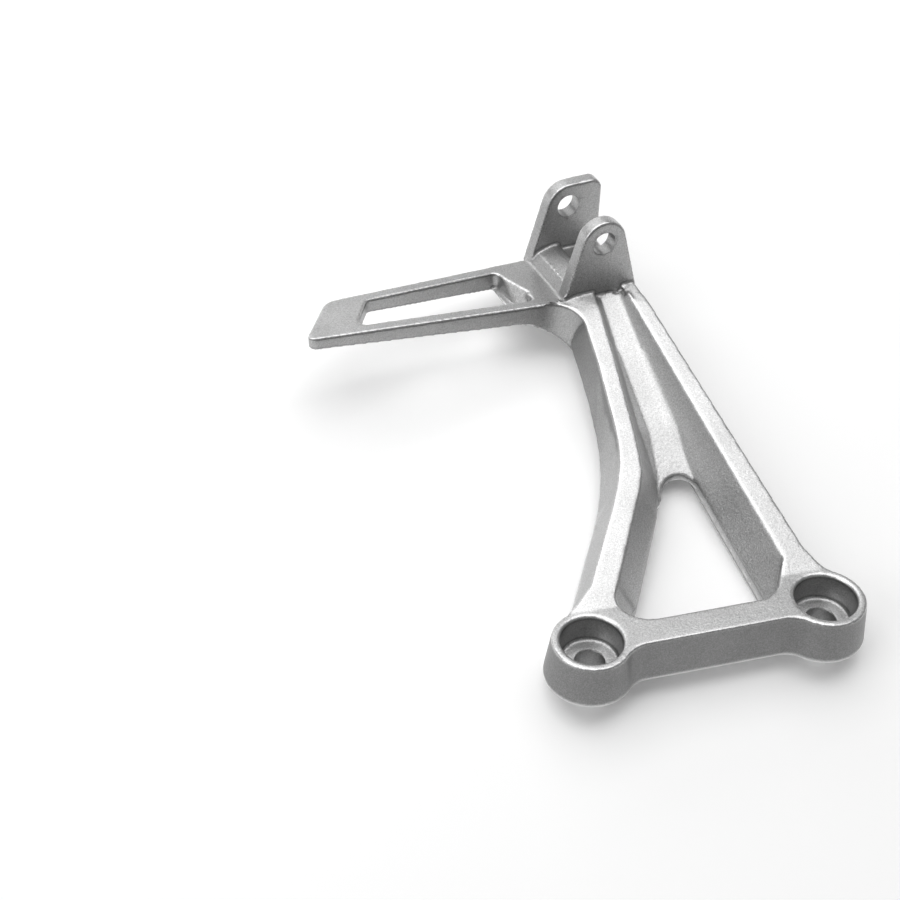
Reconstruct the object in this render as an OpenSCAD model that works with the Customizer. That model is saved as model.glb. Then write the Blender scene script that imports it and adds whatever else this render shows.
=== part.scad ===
// Motorcycle footrest hanger, one aluminium casting.
// Two bolt bosses carry it on the frame, two rails climb from them to a clevis
// that holds the footrest, and a slotted arm reaches out to one side.
// The casting is drawn in its mounting frame: the face under the bolt heads is
// z = 0, x runs from one bolt to the other and y runs towards the clevis.
// It is then tipped back on its feet, the way it lies on a table.

/* [Bolt bosses] */
// distance between the two bolt axes
bolt_pitch = 74; // [66:0.5:90]
// bolt hole, an M8 bolt with play
bolt_hole_d = 9; // [6.6:0.1:10.5]
// outside of a boss at its top face
boss_d = 24; // [22:0.5:27]
// seat of the bolt head at its floor
seat_d = 17.8; // [14:0.1:18.4]
// how deep the seat is sunk
seat_depth = 9.6; // [4:0.1:11]
// how much wider the seat is at its mouth, across
seat_flare = 1.0; // [0.4:0.1:1.4]
// bevel round the mouth of the seat
seat_bevel = 0.5; // [0.2:0.1:0.8]

/* [Casting] */
// thickness of bosses, front bar and rails
cast_depth = 17; // [15:0.25:20]
// depth of the parting line below the top
parting_depth = 14.5; // [12:0.25:14.75]
// lean of the outer walls
outer_draft = 7; // [3:0.5:9]

/* [Front bar] */
// width of the bar's top
bar_w = 9.2; // [8:0.2:12]
// how far the bar's back edge is behind the bolt axes
bar_back = 3.9; // [2:0.1:5]
// hollow round between bar and boss
bar_blend_r = 12; // [6:0.5:14]

/* [Rails] */
// climb of the rails
rail_rise = 21; // [14:0.5:26]
// where the climb starts, behind the bolt axes
crease_back = 11.5; // [11:0.25:14]
// width of the rail on the arm side
arm_rail_w = 6; // [5:0.1:8]
// lean of its upper run from straight back
arm_rail_lean = 3.2; // [1:0.2:6]
// how far back the bend of this rail is
bend_back = 55; // [48:0.5:62]
// radius of that bend
bend_r = 60; // [40:1:80]
// width of the other rail in line with the bolts
far_rail_low_w = 8.2; // [6.5:0.1:10]
// width of the other rail at the clevis
far_rail_top_w = 5; // [4.5:0.1:7]
// lean of the rails' walls towards the window
inner_draft = 26; // [15:0.5:30]
// depth at which those walls turn straight down
inner_foot = 12; // [10:0.25:13]
// hollow round between rail and boss
rail_blend_r = 30; // [15:1:36]
// middle of the rail on the arm side at its end, beside the pin
arm_rail_end = 4.75; // [4.25:0.05:5.25]
// outer edge of the other rail at its end, beside the pin
far_rail_out = 13.05; // [12.75:0.05:13.35]
// outer edge of the other rail beside the bolt axis
far_rail_low_out = 5.3; // [4.9:0.1:5.7]

/* [Web and window] */
// round at the back end of the window
window_r = 6.5; // [4:0.25:8]
// how far back the window reaches
window_back = 58; // [50:0.5:66]
// climb of the web's floor
web_rise = 28.4; // [25:0.2:31]
// depth of the web's floor below the rails at the window
web_sink = 12.2; // [9:0.1:13]
// round where the floor turns up into the shoulder
web_end_r = 8; // [4:0.5:10]
// round in the window's corner on the arm side
corner_r = 9.5; // [5:0.5:12]
// bevel in the window's other corner
corner_bevel = 13.5; // [8:0.5:16]

/* [Clevis] */
// pin bore, for the footrest's 8 mm pin
pin_hole_d = 8; // [6:0.1:9]
// clevis front, behind the bolt axes
clevis_back = 117.75; // [105:0.25:130]
// pin axis beside the middle of the bolts
clevis_side = 2.35; // [-4:0.05:6]
// turn of the clevis about the vertical
clevis_turn = 8.8; // [4:0.2:14]
// height of the pin above the shoulder
pin_height = 20; // [17:0.25:26]
// radius of the ears round the pin
ear_r = 8; // [7:0.1:9.5]
// thickness of an ear
ear_t = 5.2; // [4:0.1:7]
// gap between the ears
ear_gap = 21.3; // [17:0.1:26]
// lean of the ears' flanks
ear_flank = 15.4; // [10:0.2:18]
// half width of the head
head_half_w = 12.5; // [12:0.1:14]
// level shoulder in front of the clevis
shoulder_len = 7.5; // [7:0.1:8]
// floor of the gap above the shoulder, on the side away from the arm
gap_floor = 3.4; // [2:0.1:5]
// step up to the stop pad on the arm side
stop_step = 2.3; // [1:0.1:3]
// thickness of the head at its back end
head_back_t = 13.2; // [11:0.1:16]

/* [Arm] */
// reach of the arm from the pin
arm_reach = 105.5; // [85:0.5:125]
// width of the arm at its root
arm_root_w = 30; // [26:0.25:31]
// narrowing of the arm along its back edge
arm_taper = 6.6; // [4:0.2:8]
// climb of the arm's top
arm_rise = 6.5; // [2:0.25:10]
// thickness at the root
arm_root_t = 7.1; // [6:0.1:9]
// thickness at the tip
arm_tip_t = 4.4; // [3.5:0.1:6]
// slant of the arm's end from its length
arm_end_slant = 55.5; // [45:0.5:70]
// length of the slanted end, along the arm
arm_end_len = 13.9; // [10:0.1:18]
// round of the back corner
arm_corner_r = 8; // [4:0.5:10]
// round of the tip
arm_tip_r = 2; // [1.2:0.1:3]
// rim in front of and behind the slot
slot_rim = 4.2; // [3.5:0.1:6]
// end of the slot, from the arm's tip
slot_end_rim = 19; // [17.5:0.5:30]
// inner end of the slot, from the pin
slot_near = 22.3; // [21:0.1:36]
// round of the slot's corners
slot_r = 2; // [1.2:0.1:3]
// hollow round between arm and rail, seen from above
arm_blend_r = 10; // [6:0.5:12]
// hollow round under the arm's root
arm_under_r = 9; // [6:0.5:10]

/* [Hidden] */
$fn = 64;
over = 1;
slip = 0.4;
blend_bite = 0.12;
far_away = 70;
slot_reach = arm_reach - slot_end_rim;
web_end_before = 2.7;
past_clevis = 4;
pad_edge = 0.7;
pad_in = ear_r * 0.4;
head_under_in = 2;
slot_back_in = 6;
arm_thin_from = 3 * ear_r;
sharp_r = 0.01;
arm_end_over = 2;
blend_over = 4;
outer_k = tan(outer_draft);
inner_k = tan(inner_draft);
boss_r = boss_d / 2;
bolt_x = bolt_pitch / 2;
bar_front = bar_w - bar_back;
seat_r = seat_d / 2;
parting_out = parting_depth * outer_k;
foot_in = cast_depth - parting_depth;
shoulder_y = clevis_back - shoulder_len;
shoulder_z = tan(rail_rise) * (shoulder_y - crease_back);
head_len = ear_gap + 2 * ear_t;
bend_steps = 6;

head_end = [clevis_side - arm_rail_end, clevis_back];
bend_at = head_end - (clevis_back - bend_back) * [tan(arm_rail_lean), 1];
boss_a = [-bolt_x, 0];
boss_b = [bolt_x, 0];
low_lean = atan2(bend_at.x - boss_a.x, bend_at.y - boss_a.y);
bend_tangent = bend_r * tan((low_lean - arm_rail_lean) / 2);

function heading(lean) = [sin(lean), cos(lean)];
function left_of(lean) = [-cos(lean), sin(lean)];
function rail_top(y) = tan(rail_rise) * (y - crease_back);

// the rail's middle line: straight, bent in short steps, straight
bend_top = bend_at + bend_tangent * heading(arm_rail_lean);
bend_low = bend_at - bend_tangent * heading(low_lean);
bend_middle = bend_top + bend_r * left_of(arm_rail_lean);
function bend_point(i) =
    bend_middle - bend_r * left_of(low_lean + (arm_rail_lean - low_lean) * i / bend_steps);
crease_a = boss_a + crease_back * [tan(low_lean), 1];
arm_rail_line = concat([crease_a], [for (i = [0:bend_steps]) bend_point(i)], [head_end]);

// top edges of the other rail, in line with the bolts and at the clevis
far_out_low = boss_b + [far_rail_low_out, 0];
far_in_low = far_out_low - [far_rail_low_w, 0];
far_out_top = [clevis_side + far_rail_out, clevis_back];
far_in_top = far_out_top - [far_rail_top_w, 0];

// walls of a rail as seen along it, from their top edge: [sideways, down]
outer_wall = [
    [-over * outer_k, -over],
    [parting_out, parting_depth],
    [parting_out - foot_in - over, cast_depth + over]];
inner_wall = [
    [-inner_foot * inner_k, cast_depth + over],
    [-inner_foot * inner_k, inner_foot],
    [over * inner_k, -over]];
function moved(points, by, side) = [for (p = points) [side * (p.x + by), p.y]];
arm_rail_section = concat(
    moved(outer_wall, arm_rail_w / 2, -1),
    moved(inner_wall, -arm_rail_w / 2, -1));
far_outer_section = concat(outer_wall, [[-far_away, cast_depth + over], [-far_away, -over]]);
far_inner_section = concat(inner_wall, [[far_away, -over], [far_away, cast_depth + over]]);

// a wall section drawn along a straight line, level or climbing with the rails
module run(from, to, section, climbs) {
    along = to - from;
    lean = atan2(along.x, along.y);
    climb = climbs ? atan(tan(rail_rise) * cos(lean)) : 0;
    start = from - slip * heading(lean);
    translate([start.x, start.y, climbs ? rail_top(start.y) : 0])
        rotate([climb - 90, 0, -lean])
            linear_extrude(height = (norm(along) + 2 * slip) / cos(climb))
                polygon([for (p = section) [p.x, p.y * cos(climb)]]);
}

// round post with the casting's draft, its parting line and its foot
module drafted_post(r) {
    translate([0, 0, -parting_depth])
        cylinder(h = parting_depth, r1 = r + parting_out, r2 = r);
    translate([0, 0, -cast_depth])
        cylinder(h = foot_in, r1 = r + parting_out - foot_in, r2 = r + parting_out);
}

// the space beside a hollow round, the reverse of a post
module hollow_round(r) {
    translate([0, 0, -parting_depth])
        cylinder(h = parting_depth, r1 = r - parting_out, r2 = r);
    translate([0, 0, -slip])
        cylinder(h = far_away, r = r);
    translate([0, 0, -cast_depth - 2 * over])
        cylinder(h = foot_in + 2 * over, r1 = r - parting_out + foot_in + 2 * over,
            r2 = r - parting_out);
}

module both_bosses() {
    translate(boss_a)
        children();
    translate(boss_b)
        children();
}

module bosses() {
    both_bosses()
        drafted_post(boss_r);
}

module front_bar() {
    wall = moved(outer_wall, bar_front, 1);
    section = concat(wall, [[-bar_back, cast_depth + over], [-bar_back, -over]]);
    run(boss_a, boss_b, section, false);
}

// fills the inside corner between a straight wall and a boss
module boss_fill(boss, lean, side, offset, r) {
    reach = sqrt(pow(boss_r + r, 2) - pow(offset + r, 2));
    middle = boss + reach * heading(lean) + side * (offset + r) * left_of(lean);
    foot = boss + reach * heading(lean);
    difference() {
        translate([0, 0, -cast_depth - over])
            linear_extrude(height = cast_depth + far_away / 4)
                polygon([boss, foot, middle]);
        translate(middle)
            hollow_round(r + blend_bite);
    }
}

module boss_fills() {
    far_lean = atan2(far_out_top.x - far_out_low.x, far_out_top.y - far_out_low.y);
    boss_fill(boss_a, 90, -1, bar_front, bar_blend_r);
    boss_fill(boss_b, -90, 1, bar_front, bar_blend_r);
    boss_fill(boss_a, low_lean, 1, arm_rail_w / 2, rail_blend_r);
    boss_fill(boss_b, far_lean, -1, far_rail_low_out * cos(far_lean), rail_blend_r);
}

module arm_side_rail() {
    run(boss_a, crease_a, arm_rail_section, false);
    for (i = [1:len(arm_rail_line) - 1])
        run(arm_rail_line[i - 1], arm_rail_line[i], arm_rail_section, true);
}

module far_side_rail() {
    for (climbs = [false, true])
        intersection() {
            run(far_out_low, far_out_top, far_outer_section, climbs);
            run(far_in_low, far_in_top, far_inner_section, climbs);
            far_rail_part(climbs);
        }
}

// the level end of the rail, or all that climbs
module far_rail_part(climbs) {
    translate([0, climbs ? crease_back : -slip, -far_away])
        cube([far_away, climbs ? 2 * far_away : crease_back + slip, 2 * far_away]);
}

// solid corners of the window: a round on the arm side, a bevel on the other
module window_corners() {
    half = (90 - low_lean) / 2;
    corner = [bar_back * tan(low_lean) - bolt_x + arm_rail_w / 2 / cos(low_lean), bar_back];
    reach = corner_r / tan(half);
    middle = corner + [reach, corner_r];
    far_in = far_in_top - far_in_low;
    far_corner = far_in_low + far_in * bar_back / far_in.y;
    translate([0, 0, -cast_depth])
        linear_extrude(height = cast_depth + far_away / 4) {
            difference() {
                polygon([corner - [1, 1], corner + [reach, -1], middle,
                    corner + reach * heading(low_lean) - [1, 0]]);
                translate(middle)
                    circle(r = corner_r);
            }
            polygon([far_corner + [1, -1], far_corner - [corner_bevel, 1],
                far_corner - [corner_bevel, 0],
                far_corner + corner_bevel * far_in / norm(far_in),
                far_corner + corner_bevel * far_in / norm(far_in) + [1, 0]]);
        }
}

// floor between the upper runs of the rails, thin at the window
module web() {
    mouth = window_back - window_r;
    z0 = rail_top(window_back) - web_sink;
    end_y = shoulder_y - web_end_before;
    end_z = z0 + tan(web_rise) * (end_y - window_back);
    difference() {
        intersection() {
            translate([0, 0, -far_away])
                linear_extrude(height = 3 * far_away)
                    polygon([bend_low, bend_top, head_end, far_in_top + [1, 0],
                        far_in_low + (far_in_top - far_in_low) * bend_low.y / clevis_back + [1, 0]]);
            side_profile([
                [mouth, z0 - tan(web_rise) * window_r],
                [end_y, end_z],
                [end_y, shoulder_z + over],
                [clevis_back + far_away / 5, shoulder_z + over],
                [clevis_back + far_away / 5, -far_away],
                [mouth, -far_away]]);
        }
        translate([window_middle_x(), mouth, -far_away])
            cylinder(h = 3 * far_away, r = window_r);
        translate([0, end_y, end_z])
            rotate([web_rise, 0, 0])
                translate([-far_away, 0, web_end_r])
                    rotate([0, 90, 0])
                        cylinder(h = 2 * far_away, r = web_end_r);
    }
}

// middle between the feet of the two rails where the window ends
function window_middle_x() =
    let (y = window_back - window_r)
    let (a = bend_at.x + arm_rail_w / 2 + inner_foot * inner_k)
    let (b = far_in_low.x + (far_in_top.x - far_in_low.x) * y / clevis_back - inner_foot * inner_k)
    (a + b) / 2;

// an outline of [back, up] points, drawn from side to side
module side_profile(points) {
    translate([-2 * far_away, 0, 0])
        rotate([90, 0, 90])
            linear_extrude(height = 4 * far_away)
                polygon(points);
}

// bosses, bar, rails and web, cut level at top and bottom and then climbing
module frame_casting() {
    end_y = clevis_back + past_clevis;
    intersection() {
        side_profile([
            [-far_away, 0],
            [crease_back, 0],
            [shoulder_y, shoulder_z],
            [end_y, shoulder_z],
            [end_y, rail_top(end_y) - cast_depth],
            [crease_back, -cast_depth],
            [-far_away, -cast_depth]]);
        union() {
            bosses();
            front_bar();
            boss_fills();
            arm_side_rail();
            far_side_rail();
            window_corners();
            web();
        }
    }
}

// the clevis and the arm stand on the shoulder, turned about the vertical
module on_shoulder() {
    translate([clevis_side, clevis_back, shoulder_z])
        rotate([0, 0, clevis_turn])
            children();
}

// an outline of [sideways, up] points, drawn from the clevis front to the back
module across_head(from, to) {
    translate([0, to, 0])
        rotate([90, 0, 0])
            linear_extrude(height = to - from)
                children();
}

head_front_t = cast_depth - tan(rail_rise) * shoulder_len;
head_back_low = gap_floor - head_back_t;
head_low_half_w = head_half_w - outer_k * head_back_low;
arm_side_w = ear_r / cos(ear_flank) + tan(ear_flank) * pin_height;

module head_block() {
    low = -far_away / 2;
    intersection() {
        across_head(0, head_len)
            polygon([
                [-arm_side_w, low],
                [-arm_side_w, 0],
                [-arm_side_w + (gap_floor + stop_step) / 2, gap_floor + stop_step - pad_edge],
                [-arm_side_w + (gap_floor + stop_step) / 2 + pad_edge, gap_floor + stop_step],
                [-pad_in, gap_floor + stop_step],
                [-pad_in + stop_step / 2, gap_floor],
                [head_half_w, gap_floor],
                [head_low_half_w, head_back_low],
                [head_low_half_w - head_under_in, low]]);
        above_underside();
    }
}

// all that is above the underside of rails and head
module above_underside() {
    front = -2 * arm_blend_r;
    side_profile([
        [front, far_away],
        [front, tan(rail_rise) * front - head_front_t],
        [0, -head_front_t],
        [head_len, head_back_low],
        [head_len, far_away]]);
}

// near ear: round over the pin, spreading to its foot
module near_ear_outline() {
    translate([0, pin_height])
        circle(r = ear_r);
    half_ear_foot(-1);
    half_ear_foot(1);
}

module half_ear_foot(side) {
    polygon([
        [0, -1],
        [0, pin_height],
        [side * ear_r * cos(ear_flank), pin_height + ear_r * sin(ear_flank)],
        [side * arm_side_w, 0],
        [side * arm_side_w, -1]]);
}

// far ear: the same towards the arm, square to the other side
module far_ear_outline() {
    translate([0, pin_height])
        circle(r = ear_r);
    half_ear_foot(-1);
    translate([head_half_w - ear_corner_r, pin_height + ear_r - ear_corner_r])
        circle(r = ear_corner_r);
    translate([0, -1])
        square([head_half_w, pin_height + ear_r - ear_corner_r + 1]);
    square([head_half_w - ear_corner_r, pin_height + ear_r]);
}

module ears() {
    across_head(0, ear_t)
        near_ear_outline();
    across_head(ear_t + ear_gap, head_len)
        far_ear_outline();
}

// plate with an outline of straight edges, each corner rounded to its radius
module rounded_outline(points, radii) {
    n = len(points);
    function unit(v) = v / norm(v);
    function to_next(i) = unit(points[(i + 1) % n] - points[i]);
    function to_last(i) = unit(points[(i + n - 1) % n] - points[i]);
    function half_angle(i) = acos(to_next(i) * to_last(i)) / 2;
    function set_back(i) = radii[i] / tan(half_angle(i));
    polygon([for (i = [0:n - 1]) each [
        points[i] + set_back(i) * to_last(i),
        points[i] + set_back(i) * to_next(i)]]);
    for (i = [0:n - 1])
        translate(points[i] + radii[i] / sin(half_angle(i)) * unit(to_next(i) + to_last(i)))
            circle(r = radii[i]);
}

arm_root_u = 8;
arm_back_corner = arm_root_w - tan(arm_taper) * (arm_reach - arm_end_len - arm_root_u);

// the arm from above: straight front, tapering back, slanted end
module arm_outline() {
    rounded_outline([
        [-arm_root_u, 0],
        [-arm_root_u, arm_root_w],
        [-arm_reach + arm_end_len, arm_back_corner],
        [-arm_reach, 0]],
        [sharp_r, sharp_r, arm_corner_r, arm_tip_r]);
}

module slot_outline() {
    back_rim = slot_rim / cos(arm_taper);
    function back_edge(u) = arm_root_w - tan(arm_taper) * (u - arm_root_u) - back_rim;
    slant = tan(90 - arm_end_slant);
    outer_back = slot_reach - slant * (back_edge(slot_reach) - slot_rim);
    rounded_outline([
        [-slot_near, slot_rim],
        [-slot_near - slot_back_in, back_edge(slot_near + slot_back_in)],
        [-outer_back, back_edge(outer_back)],
        [-slot_reach, slot_rim]],
        [slot_r, slot_r, slot_r, slot_r]);
}

// the arm from the front: climbing top, thinner tip, hollow round at the root
module arm_side_outline() {
    end = arm_reach + arm_end_over;
    function top(u) = tan(arm_rise) * (u - arm_root_u);
    thinning = (arm_root_t - arm_tip_t) / (arm_reach - arm_thin_from);
    function under(u) = top(u) - arm_root_t + thinning * (u - arm_thin_from);
    round_u = arm_side_w + arm_under_r;
    difference() {
        polygon([
            [-arm_root_u, 0],
            [-end, top(end)],
            [-end, under(end)],
            [-round_u, under(round_u)],
            [-round_u, under(round_u) - arm_under_r],
            [-arm_root_u, under(round_u) - arm_under_r]]);
        translate([-round_u, under(round_u) - arm_under_r])
            circle(r = arm_under_r);
    }
}

// fills the corner between the arm's front edge and the rail, seen from above
module arm_blend() {
    lean = arm_rail_lean + clevis_turn;
    edge = arm_rail_end + arm_rail_w / 2 / cos(lean);
    middle = [-edge - (arm_blend_r * tan(lean) + arm_blend_r / cos(lean)), -arm_blend_r];
    touch = middle + arm_blend_r * [cos(lean), -sin(lean)];
    difference() {
        polygon([[middle.x, 1], middle, touch, touch + [blend_over, 0], [-edge + blend_over, 1]]);
        translate(middle)
            circle(r = arm_blend_r);
    }
}

module arm() {
    intersection() {
        translate([0, 0, -far_away])
            linear_extrude(height = 2 * far_away)
                difference() {
                    union() {
                        arm_outline();
                        arm_blend();
                    }
                    slot_outline();
                }
        across_head(-2 * arm_blend_r, 2 * arm_root_w)
            arm_side_outline();
        above_underside();
    }
}

module bolt_hole_and_seat() {
    floor_z = -seat_depth;
    translate([0, 0, -cast_depth - over])
        cylinder(h = cast_depth + 2 * over, d = bolt_hole_d);
    translate([0, 0, floor_z])
        cylinder(h = seat_depth, r1 = seat_r, r2 = seat_r + seat_flare / 2);
    translate([0, 0, -seat_bevel])
        cylinder(h = seat_bevel + over, r1 = seat_r + seat_flare / 2,
            r2 = seat_r + seat_flare / 2 + seat_bevel + over);
}

module pin_hole() {
    translate([0, -over, pin_height])
        rotate([-90, 0, 0])
            cylinder(h = head_len + 2 * over, d = pin_hole_d);
}

// how it lies: on the back edge of its feet and a corner of the head
rest_z = shoulder_z + head_back_low;
rest_y = clevis_back + head_len * cos(clevis_turn) + head_low_half_w * sin(clevis_turn);
rest_tilt = atan((rest_z + cast_depth) / (rest_y - crease_back));

// its box on the table, from the arm's tip, the bosses and the far ear
arm_tip_in = arm_tip_r / tan(arm_end_slant / 2);
left_x = clevis_side + (arm_tip_in - arm_reach) * cos(clevis_turn)
    - arm_tip_r * (1 + sin(clevis_turn));
right_x = bolt_x + boss_r + parting_out;
front_y = -(boss_r + parting_out) * cos(rest_tilt) - parting_depth * sin(rest_tilt);
ear_corner_r = ear_r / 2;
ear_corner_y = clevis_back + head_len * cos(clevis_turn)
    + (head_half_w - ear_corner_r) * sin(clevis_turn);
ear_corner_z = shoulder_z + pin_height + ear_r - ear_corner_r;
back_y = ear_corner_y * cos(rest_tilt) + ear_corner_z * sin(rest_tilt)
    + ear_corner_r * norm([sin(clevis_turn) * cos(rest_tilt), sin(rest_tilt)]);

module lying() {
    translate([
        -(left_x + right_x) / 2,
        -(front_y + back_y) / 2,
        sin(rest_tilt) * crease_back + cos(rest_tilt) * cast_depth])
        rotate([-rest_tilt, 0, 0])
            children();
}

module hanger() {
    color("silver")
        lying()
            difference() {
                union() {
                    frame_casting();
                    on_shoulder() {
                        head_block();
                        ears();
                        arm();
                    }
                }
                both_bosses()
                    bolt_hole_and_seat();
                on_shoulder()
                    pin_hole();
            }
}

hanger();
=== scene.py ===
import math

import bmesh
import bpy
import numpy as np
from mathutils import Euler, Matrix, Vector


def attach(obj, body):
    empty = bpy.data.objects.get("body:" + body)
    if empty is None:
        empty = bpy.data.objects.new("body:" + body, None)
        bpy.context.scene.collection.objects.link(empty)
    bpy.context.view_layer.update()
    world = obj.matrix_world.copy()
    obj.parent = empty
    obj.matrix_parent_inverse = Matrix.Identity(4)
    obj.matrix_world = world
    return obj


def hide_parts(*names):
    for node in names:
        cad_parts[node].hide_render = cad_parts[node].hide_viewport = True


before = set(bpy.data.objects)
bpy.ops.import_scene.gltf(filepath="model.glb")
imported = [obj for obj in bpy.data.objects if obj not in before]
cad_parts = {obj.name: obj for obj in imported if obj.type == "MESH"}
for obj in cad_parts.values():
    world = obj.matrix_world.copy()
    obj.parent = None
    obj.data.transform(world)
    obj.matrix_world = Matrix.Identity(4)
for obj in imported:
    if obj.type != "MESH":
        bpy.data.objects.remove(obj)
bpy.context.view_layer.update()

# The camera stands where the photographer stood: in front of the bolt bosses and a
# little towards the arm, looking steeply down. The picture was cut from a wider one,
# so its optical axis lies left of the middle and below it, which the shift gives.
camera_data = bpy.data.cameras.new("camera")
camera_data.sensor_width = 36.0
camera_data.lens = 57.773
camera_data.shift_x = 0.09399
camera_data.shift_y = 0.0812
camera_data.clip_start = 0.01
camera_data.clip_end = 20.0
camera = bpy.data.objects.new("camera", camera_data)
camera.location = (-0.12763, -0.23337, 0.40557)
camera.rotation_euler = [math.radians(angle) for angle in (29.594, -1.880, -11.977)]
bpy.context.collection.objects.link(camera)
bpy.context.scene.camera = camera


# The hanger is one die casting in aluminium. The mould leaves every outside edge
# slightly round and every inside corner filled, and bead blasting then gives the
# whole skin an even sandy grain. Only the bolt holes and the pin bore are drilled.
voxel_size = 0.0004
rounding_passes = 15
most_triangles = 180000

# Its forms are measured in the mounting frame, in millimetres: the origin is midway
# between the bolt axes on top of the bosses, x runs along the front bar, y towards
# the clevis and z up. The casting is tipped back on the table from there.
table_tilt = math.radians(-17.898)
mounting_origin = Vector((24.8385, -72.9578, 19.7115))
crease_y = 11.5
rail_rise = math.radians(21)
rail_depth = 17.0
parting_depth = 14.5
head_turn = math.radians(8.8)
head_origin = Vector((2.35, 117.75, 37.907))
arm_rise = math.radians(6.5)

hanger_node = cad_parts["hanger"]


def on_table(point):
    turned = Vector(point)
    turned.rotate(Euler((table_tilt, 0, 0)))
    return (turned + mounting_origin) / 1000


def on_head(side, back, up):
    """A point measured from the foot of the near ear: sideways, back and up."""
    turned = Vector((side, back, up))
    turned.rotate(Euler((0, 0, head_turn)))
    return turned + head_origin


def arm_top(side):
    return math.tan(arm_rise) * (-side - 8.0)


def rail_top(back):
    return math.tan(rail_rise) * (back - crease_y)


def block(name, corners):
    """The convex solid round its corners, given in the mounting frame."""
    shape = bmesh.new()
    for corner in corners:
        shape.verts.new(on_table(corner))
    made = bmesh.ops.convex_hull(shape, input=shape.verts[:])
    spare = {part for part in made["geom_interior"] + made["geom_unused"]
             if isinstance(part, bmesh.types.BMVert)}
    bmesh.ops.delete(shape, geom=list(spare), context="VERTS")
    bmesh.ops.recalc_face_normals(shape, faces=shape.faces[:])
    mesh = bpy.data.meshes.new(name)
    shape.to_mesh(mesh)
    shape.free()
    piece = bpy.data.objects.new(name, mesh)
    bpy.context.collection.objects.link(piece)
    return piece


def copy_of_node(node, name):
    """A mesh object of its own with the node's shape."""
    piece = bpy.data.objects.new(name, node.data.copy())
    piece.matrix_world = node.matrix_world.copy()
    bpy.context.collection.objects.link(piece)
    return piece


def apply_modifiers(piece):
    depsgraph = bpy.context.evaluated_depsgraph_get()
    shaped = bpy.data.meshes.new_from_object(piece.evaluated_get(depsgraph))
    piece.modifiers.clear()
    piece.data = shaped


def cut_away(piece, cutters):
    for cutter in cutters:
        cut = piece.modifiers.new("cut", "BOOLEAN")
        cut.operation = "DIFFERENCE"
        cut.solver = "EXACT"
        cut.object = cutter
        apply_modifiers(piece)


# The rail on the arm side, as sections from the boss to the clevis: its outer and
# inner top edge and how far the wall flares out down to the parting line.
rail_stations = [
    ((-44.6, 9.0), (-30.6, 4.6), 1.8),
    ((-40.4, 11.9), (-26.5, 11.7), 2.4),
    ((-36.6, 14.4), (-24.4, 15.4), 3.8),
    ((-33.6, 16.9), (-22.9, 18.0), 5.0),
    ((-31.05, 19.1), (-21.5, 20.4), 5.7),
    ((-16.77, 42.34), (-9.5, 41.4), 5.9),
    ((-13.25, 48.9), (-6.2, 47.1), 5.8),
    ((-10.45, 55.4), (-4.0, 52.4), 5.7),
    ((-8.35, 62.4), (-2.85, 60.5), 5.3),
    ((-7.25, 69.7), (-2.35, 69.0), 4.6),
    ((-6.92, 76.8), (-2.0, 76.5), 3.9),
    ((-6.83, 90.0), (-1.3, 90.0), 2.9),
    ((-6.75, 110.25), (-0.2, 110.25), 2.8),
]
wall_foot_depth = 12.0
inner_wall_out = 6.3


def rail_section(index):
    outer, inner, flare = rail_stations[index]
    before_it = rail_stations[max(index - 1, 0)][0]
    after_it = rail_stations[min(index + 1, len(rail_stations) - 1)][0]
    along = (Vector(after_it) - Vector(before_it)).normalized()
    out = Vector((-along.y, along.x))

    def corner(edge, sideways, depth):
        place = Vector(edge) + sideways * out
        top = max(rail_top(edge[1]), 0.0)
        return (place.x, place.y, top - depth)

    reach = inner_wall_out * min(1.0, index / 4)
    return [
        corner(outer, 0, 0), corner(inner, 0, 0),
        corner(outer, flare, parting_depth), corner(inner, -reach, wall_foot_depth),
        corner(outer, flare - 2.5, rail_depth - 0.05), corner(inner, -reach, rail_depth - 0.05)]


sections = [rail_section(index) for index in range(len(rail_stations))]
rail_blocks = [block("rail_run", sections[index] + sections[index + 1])
               for index in range(1, len(sections) - 1)]

# The other rail's wall towards the window leans out more towards its foot.
far_wall = []
for x, y in ((32.29, 9.0), (31.785, crease_y), (10.95, 115.0)):
    far_wall.append([
        (x + sideways, y, max(rail_top(y), 0.0) - depth)
        for sideways, depth in ((0.5, 0.0), (0.0, 0.0), (-6.9, wall_foot_depth),
                                (-6.9, rail_depth - 0.05), (0.5, rail_depth - 0.05))])
far_wall_blocks = [block("far_wall", far_wall[0] + far_wall[1]),
                   block("far_wall", far_wall[1] + far_wall[2])]

# Soft fillets at the foot of both walls, along the web's floor.
def floor_z(back):
    return 5.65 + math.tan(math.radians(28.4)) * (back - 58.0)


fillets = []
for side, foot_line in ((1, ((2.9, 56.5), (2.6, 72.0), (1.2, 112.0))),
                        (-1, ((16.6, 57.5), (13.0, 72.0), (9.9, 112.0)))):
    for (x0, y0), (x1, y1) in zip(foot_line, foot_line[1:]):
        corners = []
        for x, y in ((x0, y0), (x1, y1)):
            low = floor_z(y)
            depth = rail_top(y) - low
            share = min(1.0, depth / 10.0) if y > 60.0 else 0.05
            wall_x = (-2.6 + 0.03 * (y - 58.0) if side > 0 else 34.1 - 0.2013 * y)
            foot_x = wall_x + side * depth * 0.53
            corners += [(foot_x - side * 2.0 * share * 0.53, y, low + 2.0 * share),
                        (foot_x + side * 2.4 * share, y, low - 0.02),
                        (foot_x - side * 2.0, y, low - 0.5),
                        (foot_x + side * 2.4 * share, y, low - 0.5),
                        (foot_x - side * 2.0, y, low + 2.0 * share - 0.5)]
        fillets.append(block("fillet", corners))

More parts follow.
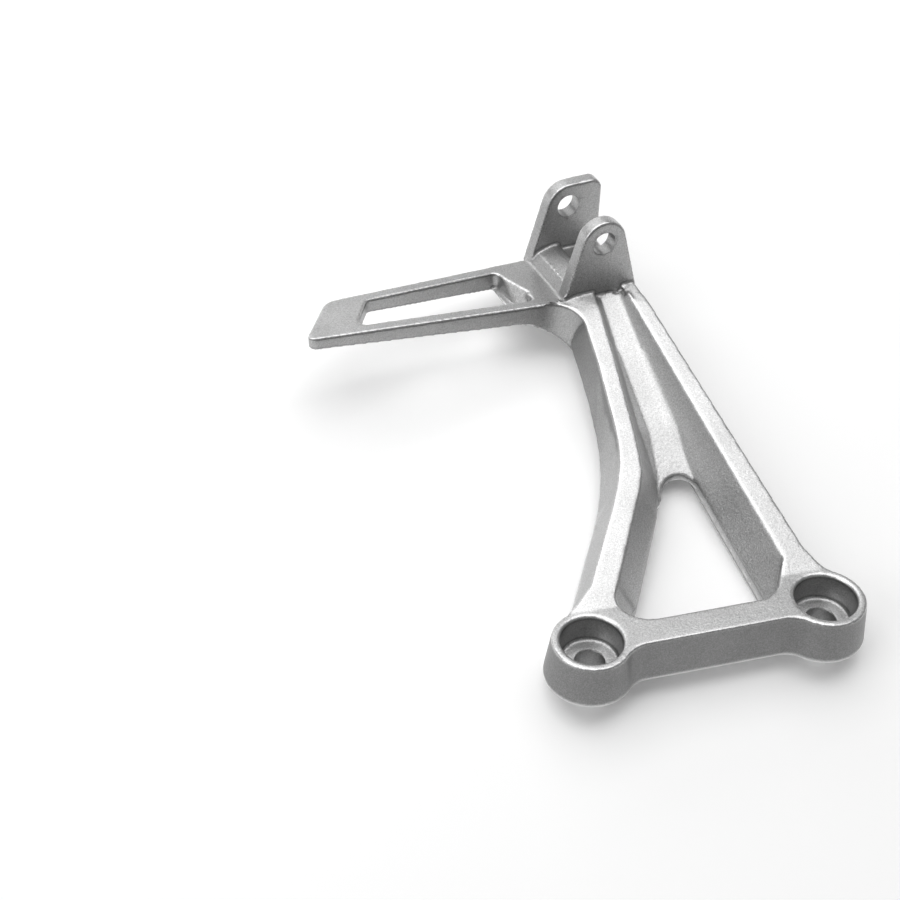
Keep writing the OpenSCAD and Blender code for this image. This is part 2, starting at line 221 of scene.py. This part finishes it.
# The web's floor runs straight on up to the near ear.
floor_corners = [(-1.3 + 0.0542 * (y - 90.0) + 0.53 * (rail_top(y) - floor_z(y)), y, floor_z(y))
                 for y in (98.0, 116.6)]
floor_corners += [(34.1 - 0.2013 * y - 0.56 * (rail_top(y) - floor_z(y)), y, floor_z(y))
                  for y in (98.0, 118.4)]
floor_corners += [(-1.3 + 0.0542 * (y - 90.0), y, rail_top(y) + 0.3) for y in (98.0, 116.6)]
floor_corners += [(34.1 - 0.2013 * y, y, rail_top(y) + 0.3) for y in (98.0, 118.4)]
floor_cut = block("floor_cut", floor_corners)

# In front of the near ear the rails' tops climb on a little and round up into it.
def foot_edge(front_side, back_side):
    crease = -(2.88 + 0.0587 * front_side) / 0.3793
    return ([on_head(front_side, crease, up) for up in (0.0, -0.6)]
            + [on_head(back_side, 0.3, up) for up in (-0.6, 2.2)])


ear_feet = [
    block("ear_foot", foot_edge(-9.2, -9.2) + foot_edge(-3.6, -2.3)),
    block("ear_foot", foot_edge(-9.2, -9.2) + [on_head(-13.0, back, up) for back, up in (
        (-4.0, 0.3), (0.3, 1.1), (0.3, -0.6))]),
    block("ear_foot", foot_edge(8.3, 7.9) + foot_edge(13.3, 12.7))]

# The web thins out in a tip that runs down the foot of the rail on the arm side.
web_tip = block("web_tip", [(x, y, floor_z(y) - low) for x, y in (
    (1.0, 50.0), (2.4, 57.8), (5.6, 57.0), (2.6, 50.0)) for low in (0.0, 2.9)])

# The window's corner by the far boss: round from the bar, then a bevelled wall.
bevel_line = [(17.4, 3.8), (20.4, 4.3), (23.1, 5.8), (25.6, 8.65), (30.6, 17.9),
              (24.0, 16.0), (16.0, 7.0)]
corner_cut = block("corner_cut", [(x, y, z) for x, y in bevel_line for z in (-18.5, 6.0)])

# Under the web the casting is hollowed, so its edge at the window is thin.
web_under = []
for y, left, right in ((44.0, 2.3, 19.4), (64.0, 3.6, 16.2), (84.0, 4.2, 12.0)):
    depth = 15.1 if y < 70.0 else 17.2
    web_under += [(x, y, rail_top(y) - level) for x in (left, right) for level in (depth, 19.0)]
web_under_cut = block("web_under", web_under)

# The bolt holes and the pin bore are drilled in the rounded casting: until then
# they are plugged. The drills carry a cone that breaks the edge of each hole.
def drill(name, start, end, rings):
    """A round tool from start to end, with [place from the start, radius] rings."""
    axis = (Vector(end) - Vector(start)).normalized()
    turn = axis.to_track_quat("Z", "Y")
    shape = bmesh.new()
    loops = []
    for place, radius in rings:
        loop = []
        for step in range(64):
            angle = 2 * math.pi * step / 64
            spoke = turn @ Vector((radius * math.cos(angle), radius * math.sin(angle), place))
            loop.append(shape.verts.new(on_table(Vector(start) + spoke)))
        loops.append(loop)
    shape.faces.new(loops[0])
    shape.faces.new(loops[-1])
    for one, other in zip(loops, loops[1:]):
        for step in range(64):
            after_it = (step + 1) % 64
            shape.faces.new((one[step], one[after_it], other[after_it], other[step]))
    bmesh.ops.recalc_face_normals(shape, faces=shape.faces[:])
    mesh = bpy.data.meshes.new(name)
    shape.to_mesh(mesh)
    shape.free()
    piece = bpy.data.objects.new(name, mesh)
    bpy.context.collection.objects.link(piece)
    return piece


plugs = []
drills = []
for ear_from, ear_to in ((0.0, 5.2), (26.5, 31.7)):
    plugs.append(drill("pin_plug", on_head(0, ear_from, 20), on_head(0, ear_to, 20),
                       [(0.0, 4.6), (ear_to - ear_from, 4.6)]))
    depth = ear_to - ear_from
    drills.append(drill("pin_drill", on_head(0, ear_from, 20), on_head(0, ear_to, 20), [
        (-1.0, 5.12), (0.12, 4.0), (depth - 0.12, 4.0), (depth + 1.0, 5.12)]))
for bolt_x in (-37.0, 37.0):
    plugs.append(drill("bolt_plug", (bolt_x, 0, -9.65), (bolt_x, 0, -17.0), [(0.0, 5.2), (7.35, 5.2)]))
    drills.append(drill("bolt_drill", (bolt_x, 0, -9.6), (bolt_x, 0, -17.0), [
        (-1.0, 5.75), (0.25, 4.5), (8.4, 4.5)]))

# Root of the arm: its underside swings down into the rail in a wide hollow, its
# front edge runs into the rail in another, and the top falls to the rail's top.
under_line = [(-29.8, -4.1), (-26.0, -4.7), (-22.2, -6.2), (-18.3, -8.3), (-15.0, -10.0),
              (-13.5, -11.4), (-10.5, -14.5), (-8.0, -15.5)]
root_blocks = []
for (side0, low0), (side1, low1) in zip(under_line, under_line[1:]):
    corners = []
    for back in (-11.5, 24.0):
        for side, low in ((side0, low0), (side1, low1)):
            if back > 0:
                bottom = max(low, -10.5)
            else:
                bottom = low + math.tan(rail_rise) * back * min(1.0, (side + 30.0) / 15.0)
            corners += [on_head(side, back, bottom),
                        on_head(side, back, -3.6)]
    root_blocks.append(block("arm_root", corners))
front_hollow = []
for step in range(60):
    angle = 2 * math.pi * step / 60
    for radius, up in ((10.0, 6.0), (10.0, -19.0)):
        front_hollow.append(on_head(-20.9 + radius * math.cos(angle),
                                    -10.0 + radius * math.sin(angle), up))
front_hollow_cut = block("front_hollow", front_hollow)
front_space_cut = block("front_space", [
    on_head(side, back, up) for side in (-40.0, -20.9) for back in (-30.0, 0.0) for up in (-19.0, 6.0)])
low_space_cut = block("low_space", [
    on_head(side, back, up) for side, back in ((-40.0, -10.0), (-40.0, -40.0), (-11.0, -40.0), (-11.0, -10.0))
    for up in (-19.0, 6.0)])
root_fill = block("root_fill", [
    on_head(side, back, up) for side, back in ((-20.9, 0.2), (-11.2, -13.5), (-7.2, -13.5), (-7.2, 0.2))
    for up in (-3.5, 3.0)])
root_top_cuts = [
    block("root_top", [on_head(side, back, -0.62 - 0.1137 * side + 0.0515 * back + up)
                       for side in (-23.5, -6.8) for back in (-14.0, -0.05) for up in (0.0, 6.0)]),
    block("root_slope", [on_head(side, back, 2.9 + 0.0587 * side + 0.3793 * back + up)
                         for side in (-23.5, -6.8) for back in (-16.0, -0.05) for up in (0.0, 6.0)])]

# The slot's inner end is a slope, wide in front and running out at the back.
ramp_top = [(-22.2, 8.7), (-27.3, 20.3)]
ramp_low = [(-26.2, 7.7), (-28.3, 21.8)]
ramp_back = [(-19.0, 4.6), (-19.0, 22.0)]
slot_ramp = block("slot_ramp", [on_head(*place, arm_top(place[0]) - 0.05) for place in ramp_top]
                  + [on_head(*place, -5.2) for place in ramp_low]
                  + [on_head(*place, arm_top(place[0]) - 0.05) for place in ramp_back]
                  + [on_head(*place, -5.2) for place in ramp_back])
ramp_cut = block("ramp_cut", [on_head(*place, arm_top(place[0])) for place in ramp_top]
                 + [on_head(*place, -5.2) for place in ramp_low]
                 + [on_head(place[0] - 3.0, place[1], up) for place in ramp_low for up in (-5.2, 1.0)]
                 + [on_head(place[0], place[1], arm_top(place[0]) + 2.0) for place in ramp_top])

# The stop pad's level top is narrow; a face falls from it to the arm in two slopes.
pad_cuts = [
    block("pad_slope", [on_head(side, back, up) for side, up in (
        (-5.85, 5.7), (-10.8, 4.2), (-10.8, 9.0), (-5.85, 9.0)) for back in (5.3, 26.4)]),
    block("pad_side", [on_head(side, back, up) for side, up in (
        (-10.8, 4.2), (-13.7, 0.66), (-16.0, 0.92), (-16.0, 9.0), (-10.8, 9.0)) for back in (5.3, 26.4)])]


casting = copy_of_node(hanger_node, "hanger_casting")
cut_away(casting, [floor_cut, corner_cut, web_under_cut, ramp_cut] + root_top_cuts + pad_cuts)
for piece in root_blocks + [root_fill]:
    cut_away(piece, [front_hollow_cut, front_space_cut, low_space_cut] + root_top_cuts)
for piece in fillets:
    cut_away(piece, [floor_cut])
join = bmesh.new()
for piece in [casting] + rail_blocks + far_wall_blocks + fillets + ear_feet + root_blocks + plugs + [
        web_tip, root_fill, slot_ramp]:
    join.from_mesh(piece.data)
join.to_mesh(casting.data)
join.free()
for tool in (rail_blocks + far_wall_blocks + fillets + ear_feet + plugs + root_blocks + root_top_cuts + pad_cuts + [
        web_tip, root_fill, slot_ramp, floor_cut, corner_cut, web_under_cut, ramp_cut,
        front_hollow_cut, front_space_cut, low_space_cut]):
    bpy.data.objects.remove(tool)
remesh = casting.modifiers.new("cast_skin", "REMESH")
remesh.mode = "VOXEL"
remesh.voxel_size = voxel_size
remesh.use_smooth_shade = True
apply_modifiers(casting)


def vertex_array(mesh):
    places = np.empty(len(mesh.vertices) * 3)
    mesh.vertices.foreach_get("co", places)
    return places.reshape(-1, 3)


# rounding the skin moves outside edges in and inside corners out: how far each
# point moved along its normal tells the finish where edges are rubbed bright, with a painted highlight on top of
# the wear, and where hollows get painted shade
before = vertex_array(casting.data)
smooth = casting.modifiers.new("cast_edges", "SMOOTH")
smooth.factor = 0.5
smooth.iterations = rounding_passes
apply_modifiers(casting)
after = vertex_array(casting.data)
normals = np.empty(len(casting.data.vertices) * 3)
casting.data.vertices.foreach_get("normal", normals)
moved_in = -np.sum((after - before) * normals.reshape(-1, 3), axis=1)
edge_share = np.clip(0.5 + moved_in / 0.0006, 0.0, 1.0)
edge_wear_and_painted_light = casting.data.attributes.new("edge_wear_and_painted_light", "FLOAT", "POINT")
edge_wear_and_painted_light.data.foreach_set("value", edge_share.astype(np.float32))

# faces that look up or down get a high value and upright walls a low one: the finish paints upright walls darker
# than tops and undersides, as painted shade
facing = np.abs(normals.reshape(-1, 3) @ np.array([0.0, math.sin(-table_tilt), math.cos(table_tilt)]))
facing_shade_share = np.clip(facing / 0.5, 0.0, 1.0)
painted_facing_shade = casting.data.attributes.new("painted_facing_shade", "FLOAT", "POINT")
painted_facing_shade.data.foreach_set("value", facing_shade_share.astype(np.float32))

# the two halves of the mould meet in a fine line round the outside; the finish paints a pale line there as a
# painted highlight
upright = after * 1000 - np.array(mounting_origin)
back = upright[:, 1] * math.cos(table_tilt) + upright[:, 2] * math.sin(table_tilt)
up = -upright[:, 1] * math.sin(table_tilt) + upright[:, 2] * math.cos(table_tilt)
below_top = np.maximum(math.tan(rail_rise) * (back - crease_y), 0.0) - up
line_highlight_share = np.exp(-((below_top - parting_depth - 0.1) / 0.45) ** 2)
line_highlight_share *= (facing < 0.75) * (back < 104.0)
parting = casting.data.attributes.new("parting", "FLOAT", "POINT")
parting.data.foreach_set("value", line_highlight_share.astype(np.float32))

thin = casting.modifiers.new("fewer_triangles", "DECIMATE")
triangles = sum(len(face.vertices) - 2 for face in casting.data.polygons)
thin.ratio = min(1.0, most_triangles / triangles)
apply_modifiers(casting)
cut_away(casting, drills)

# crumbs that the rounding left loose are dropped: the casting is one piece
skin = bmesh.new()
skin.from_mesh(casting.data)
unseen = set(skin.verts)
islands = []
while unseen:
    edge_of_island = [unseen.pop()]
    island = []
    while edge_of_island:
        vertex = edge_of_island.pop()
        island.append(vertex)
        for edge in vertex.link_edges:
            neighbour = edge.other_vert(vertex)
            if neighbour in unseen:
                unseen.remove(neighbour)
                edge_of_island.append(neighbour)
    islands.append(island)
islands.sort(key=len)
print("loose crumbs", [len(island) for island in islands[:-1]])
for island in islands[:-1]:
    bmesh.ops.delete(skin, geom=island, context="VERTS")
skin.to_mesh(casting.data)
skin.free()
for face in casting.data.polygons:
    face.use_smooth = True
casting.data.set_sharp_from_angle(angle=math.radians(38))
for tool in drills:
    bpy.data.objects.remove(tool)

# inside the drilled holes the metal is smoother and even: the painted facing shade, the edge wear with its painted
# light, and the painted line highlight are set to fixed values there
places = vertex_array(casting.data) * 1000
in_hole = np.zeros(len(places), dtype=bool)
for start, end, radius in ((on_head(0, 0, 20), on_head(0, 31.7, 20), 4.14),
                           (Vector((-37, 0, -9.5)), Vector((-37, 0, -17)), 4.66),
                           (Vector((37, 0, -9.5)), Vector((37, 0, -17)), 4.66)):
    first = np.array(on_table(start)) * 1000
    along = np.array(on_table(end)) * 1000 - first
    length = np.linalg.norm(along)
    reach = (places - first) @ along / length
    spoke = places - first - np.outer(reach, along / length)
    in_hole |= (np.linalg.norm(spoke, axis=1) < radius) & (reach > -1.0) & (reach < length + 1.0)
for name, value in (("edge_wear_and_painted_light", 0.8), ("painted_facing_shade", 0.3), ("parting", 0.0)):
    layer = casting.data.attributes[name]
    values = np.empty(len(places), dtype=np.float32)
    layer.data.foreach_get("value", values)
    values[in_hole] = value
    layer.data.foreach_set("value", values)
print("triangles", triangles, len(casting.data.polygons))

# Bare blasted aluminium: a light grey satin metal, its grain a third of a millimetre,
# with faint clouds of shade and edges rubbed smoother. Painted light on it: edges brighter as a painted highlight
# on top of the wear, hollows darker as painted shade, upright walls darker than tops as painted shade, and a
# painted highlight along the mould line.
aluminium = bpy.data.materials.new("blasted_aluminium")
aluminium.use_nodes = True
nodes = aluminium.node_tree.nodes
links = aluminium.node_tree.links
shader = nodes["Principled BSDF"]
shader.inputs["Metallic"].default_value = 1.0

coordinates = nodes.new("ShaderNodeTexCoord")


def noise(scale, detail, roughness):
    node = nodes.new("ShaderNodeTexNoise")
    node.inputs["Scale"].default_value = scale
    node.inputs["Detail"].default_value = detail
    node.inputs["Roughness"].default_value = roughness
    links.new(coordinates.outputs["Object"], node.inputs["Vector"])
    return node.outputs["Fac"]


def ramp(value, stops):
    node = nodes.new("ShaderNodeValToRGB")
    while len(node.color_ramp.elements) < len(stops):
        node.color_ramp.elements.new(0.5)
    for element, (place, shade) in zip(node.color_ramp.elements, stops):
        element.position = place
        element.color = (shade, shade, shade, 1.0)
    links.new(value, node.inputs["Fac"])
    return node.outputs["Color"]


def blend(mode, factor, first, second):
    node = nodes.new("ShaderNodeMix")
    node.data_type = "RGBA"
    node.blend_type = mode
    node.inputs["Factor"].default_value = factor
    links.new(first, node.inputs["A"])
    links.new(second, node.inputs["B"])
    return node.outputs["Result"]


grain = noise(2300.0, 3.0, 0.65)
pits = noise(900.0, 2.0, 0.5)
clouds = noise(70.0, 3.0, 0.5)
wear_and_painted_light = nodes.new("ShaderNodeAttribute")
wear_and_painted_light.attribute_name = "edge_wear_and_painted_light"

facing_shade_attribute = nodes.new("ShaderNodeAttribute")
facing_shade_attribute.attribute_name = "painted_facing_shade"

cloud_shade = ramp(clouds, [(0.3, 0.86), (0.7, 0.98)])
grain_shade = ramp(grain, [(0.35, 0.64), (0.65, 1.0)])
# painted shade: walls darker than faces that look up or down, the drafted walls darkest
painted_facing_tone = ramp(facing_shade_attribute.outputs["Fac"], [(0.0, 0.82), (0.1, 0.75), (0.24, 0.44), (0.7, 0.85), (1.0, 1.0)])
mould_line_highlight = nodes.new("ShaderNodeAttribute")
mould_line_highlight.attribute_name = "parting"
# painted highlight and painted shade: outside edges brighter, partly as rubbed wear, and hollows darker
wear_highlight_hollow_shade = ramp(wear_and_painted_light.outputs["Fac"], [(0.15, 0.55), (0.45, 0.70), (0.55, 0.74), (0.85, 1.0)])
shade = blend("MULTIPLY", 1.0, blend("MULTIPLY", 1.0, cloud_shade, grain_shade), painted_facing_tone)
shade = blend("MULTIPLY", 1.0, shade, wear_highlight_hollow_shade)
# painted highlight: a pale line mixed in along the mould's parting line
painted_line_highlight = nodes.new("ShaderNodeMix")
painted_line_highlight.data_type = "RGBA"
painted_line_highlight.inputs["B"].default_value = (0.9, 0.9, 0.9, 1.0)
links.new(mould_line_highlight.outputs["Fac"], painted_line_highlight.inputs["Factor"])
links.new(shade, painted_line_highlight.inputs["A"])
links.new(painted_line_highlight.outputs["Result"], shader.inputs["Base Color"])

grain_rough = ramp(grain, [(0.2, 0.36), (0.8, 0.48)])
wear_rough = ramp(wear_and_painted_light.outputs["Fac"], [(0.3, 1.0), (0.6, 0.95), (0.95, 0.75)])
links.new(blend("MULTIPLY", 1.0, grain_rough, wear_rough), shader.inputs["Roughness"])

fine_bump = nodes.new("ShaderNodeBump")
fine_bump.inputs["Strength"].default_value = 0.35
fine_bump.inputs["Distance"].default_value = 0.0001
links.new(grain, fine_bump.inputs["Height"])
coarse_bump = nodes.new("ShaderNodeBump")
coarse_bump.inputs["Strength"].default_value = 0.25
coarse_bump.inputs["Distance"].default_value = 0.0003
links.new(pits, coarse_bump.inputs["Height"])
links.new(fine_bump.outputs["Normal"], coarse_bump.inputs["Normal"])
links.new(coarse_bump.outputs["Normal"], shader.inputs["Normal"])

casting.data.materials.clear()
casting.data.materials.append(aluminium)
hanger_node.data.materials.clear()
hanger_node.data.materials.append(aluminium)
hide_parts("hanger")
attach(casting, "root")


# The table is a plain white sheet. It keeps the soft shadow under the casting, and
# the part of its white that only the camera and reflections see adds no light.
floor_half = 3.0
floor_mesh = bpy.data.meshes.new("floor")
floor_mesh.from_pydata(
    [(-floor_half, -floor_half, 0), (floor_half, -floor_half, 0),
     (floor_half, floor_half, 0), (-floor_half, floor_half, 0)],
    [], [(0, 1, 2, 3)])
floor = bpy.data.objects.new("floor", floor_mesh)
floor.location.z = -0.0001
bpy.context.collection.objects.link(floor)
paper = bpy.data.materials.new("white_table")
paper.use_nodes = True
paper_nodes = paper.node_tree.nodes
paper_links = paper.node_tree.links
paper_nodes["Principled BSDF"].inputs["Base Color"].default_value = (0.95, 0.95, 0.95, 1.0)
paper_nodes["Principled BSDF"].inputs["Roughness"].default_value = 0.9
paper_nodes["Principled BSDF"].inputs["Specular IOR Level"].default_value = 0.0
seen = paper_nodes.new("ShaderNodeLightPath")
seen_by = paper_nodes.new("ShaderNodeMath")
seen_by.operation = "MAXIMUM"
paper_links.new(seen.outputs["Is Camera Ray"], seen_by.inputs[0])
paper_links.new(seen.outputs["Is Glossy Ray"], seen_by.inputs[1])
seen_by_any = paper_nodes.new("ShaderNodeMath")
seen_by_any.operation = "MAXIMUM"
paper_links.new(seen_by.outputs[0], seen_by_any.inputs[0])
paper_links.new(seen.outputs["Is Transmission Ray"], seen_by_any.inputs[1])
paper_place = paper_nodes.new("ShaderNodeTexCoord")
paper_distance = paper_nodes.new("ShaderNodeVectorMath")
paper_distance.operation = "LENGTH"
paper_links.new(paper_place.outputs["Object"], paper_distance.inputs[0])
paper_far = paper_nodes.new("ShaderNodeMapRange")
paper_far.inputs["From Min"].default_value = 0.3
paper_far.inputs["From Max"].default_value = 1.5
paper_far.inputs["To Min"].default_value = 0.09
paper_far.inputs["To Max"].default_value = 0.75
paper_links.new(paper_distance.outputs["Value"], paper_far.inputs["Value"])
own_white = paper_nodes.new("ShaderNodeMath")
own_white.operation = "MULTIPLY"
paper_links.new(seen_by_any.outputs[0], own_white.inputs[0])
paper_links.new(paper_far.outputs["Result"], own_white.inputs[1])
paper_nodes["Principled BSDF"].inputs["Emission Color"].default_value = (1.0, 1.0, 1.0, 1.0)
paper_links.new(own_white.outputs[0], paper_nodes["Principled BSDF"].inputs["Emission Strength"])
floor_mesh.materials.append(paper)

# Studio light: one broad lamp overhead and behind, a weaker one from the front
# left, and an even white room round them.
room = bpy.data.worlds.new("room")
bpy.context.scene.world = room
room.use_nodes = True
room_nodes = room.node_tree.nodes
room_links = room.node_tree.links
room_light = room_nodes["Background"]
room_light.inputs["Color"].default_value = (1.0, 1.0, 1.0, 1.0)
room_seen = room_nodes.new("ShaderNodeLightPath")
room_white = room_nodes.new("ShaderNodeMix")
room_white.data_type = "FLOAT"
room_white.inputs["A"].default_value = 0.22
room_white.inputs["B"].default_value = 1.0
room_links.new(room_seen.outputs["Is Camera Ray"], room_white.inputs["Factor"])
room_links.new(room_white.outputs["Result"], room_light.inputs["Strength"])


def soft_lamp(name, place, target, width, depth, watts):
    lamp_data = bpy.data.lights.new(name, "AREA")
    lamp_data.shape = "RECTANGLE"
    lamp_data.size = width
    lamp_data.size_y = depth
    lamp_data.energy = watts
    lamp = bpy.data.objects.new(name, lamp_data)
    lamp.location = place
    lamp.rotation_euler = (Vector(target) - Vector(place)).to_track_quat("-Z", "Y").to_euler()
    bpy.context.collection.objects.link(lamp)


soft_lamp("overhead", (-0.05, 0.45, 1.0), (0, 0.2, 0), 1.5, 1.1, 11.5)
soft_lamp("back", (-0.3, 1.4, 0.6), (0, 0, 0), 1.6, 0.6, 3.5)
soft_lamp("left", (-1.1, -0.2, 0.8), (0, 0, 0), 0.8, 0.8, 4.5)

bpy.context.scene.view_settings.view_transform = "Standard"
